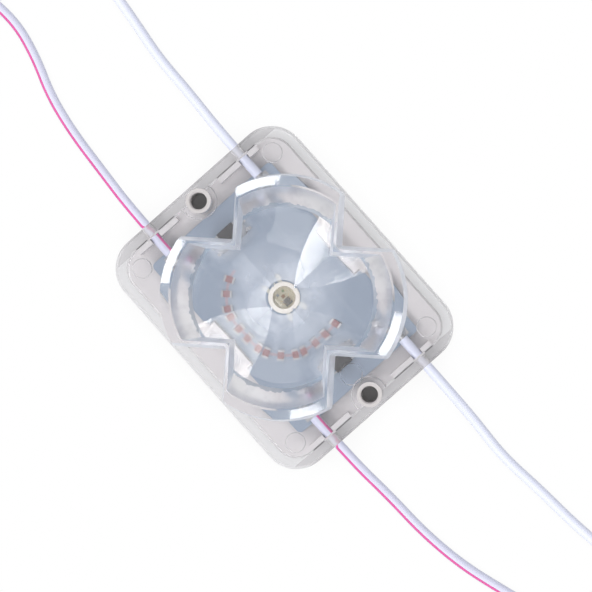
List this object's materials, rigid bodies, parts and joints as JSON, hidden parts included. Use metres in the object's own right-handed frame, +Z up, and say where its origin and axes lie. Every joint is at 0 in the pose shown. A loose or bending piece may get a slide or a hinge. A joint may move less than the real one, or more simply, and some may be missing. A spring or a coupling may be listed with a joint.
{
  "type": "led module",
  "caption": "Clear rectangular sign module with a petal-shaped lens over a flashing led on a board, a pale tray with screw holes, and insulated leads out of both short ends.",
  "frame": {"origin": "middle of the housing's mounting face", "axes": "+X along the housing's length, from one screw hole to the other; +Y across it; +Z up, out of the lens"},
  "size_m": [0.219, 0.0456, 0.0174],
  "materials": {
    "clear_cover": "clear moulded, glossy",
    "pale_tray": "moulded, satin",
    "board": "solder mask, satin",
    "tinned_copper": "tinned",
    "solder": "bright",
    "silver_plate": "plated",
    "led_cup": "moulded, satin",
    "clear_resin": "clear, glossy",
    "dark_die": "polished",
    "red_die": "polished",
    "green_die": "polished",
    "blue_die": "polished",
    "black_moulding": "moulded, matt",
    "brown_lacquer": "lacquered",
    "white_insulation": "satin",
    "striped_insulation": "satin, with a pink stripe"
  },
  "bodies": {
    "root": {"ballast_resistor_1": "brown_lacquer", "ballast_resistor_10": "brown_lacquer", "ballast_resistor_11": "brown_lacquer", "ballast_resistor_12": "brown_lacquer", "ballast_resistor_2": "brown_lacquer", "ballast_resistor_3": "brown_lacquer", "ballast_resistor_4": "brown_lacquer", "ballast_resistor_5": "brown_lacquer", "ballast_resistor_6": "brown_lacquer", "ballast_resistor_7": "brown_lacquer", "ballast_resistor_8": "brown_lacquer", "ballast_resistor_9": "brown_lacquer", "ballast_resistor_caps_1": "tinned_copper", "ballast_resistor_caps_10": "tinned_copper", "ballast_resistor_caps_11": "tinned_copper", "ballast_resistor_caps_12": "tinned_copper", "ballast_resistor_caps_2": "tinned_copper", "ballast_resistor_caps_3": "tinned_copper", "ballast_resistor_caps_4": "tinned_copper", "ballast_resistor_caps_5": "tinned_copper", "ballast_resistor_caps_6": "tinned_copper", "ballast_resistor_caps_7": "tinned_copper", "ballast_resistor_caps_8": "tinned_copper", "ballast_resistor_caps_9": "tinned_copper", "base_tray": "pale_tray", "bridge_rectifier": "black_moulding", "bridge_rectifier_legs": "tinned_copper", "circuit_board": "board", "driver_chip": "black_moulding", "driver_chip_legs": "tinned_copper", "led_blue_die": "blue_die", "led_control_die": "dark_die", "led_green_die": "green_die", "led_heat_slug": "silver_plate", "led_package": "led_cup", "led_red_die": "red_die", "led_resin": "clear_resin", "led_terminals": "silver_plate", "lens_cover": "clear_cover", "plain_lead_left": "white_insulation", "plain_lead_left_solder": "solder", "plain_lead_left_strands": "tinned_copper", "plain_lead_left_tip": "tinned_copper", "plain_lead_right": "white_insulation", "plain_lead_right_solder": "solder", "plain_lead_right_strands": "tinned_copper", "plain_lead_right_tip": "tinned_copper", "solder_pads": "tinned_copper", "striped_lead_left": "striped_insulation", "striped_lead_left_solder": "solder", "striped_lead_left_strands": "tinned_copper", "striped_lead_left_tip": "tinned_copper", "striped_lead_right": "striped_insulation", "striped_lead_right_solder": "solder", "striped_lead_right_strands": "tinned_copper", "striped_lead_right_tip": "tinned_copper"}
  },
  "joints": []
}
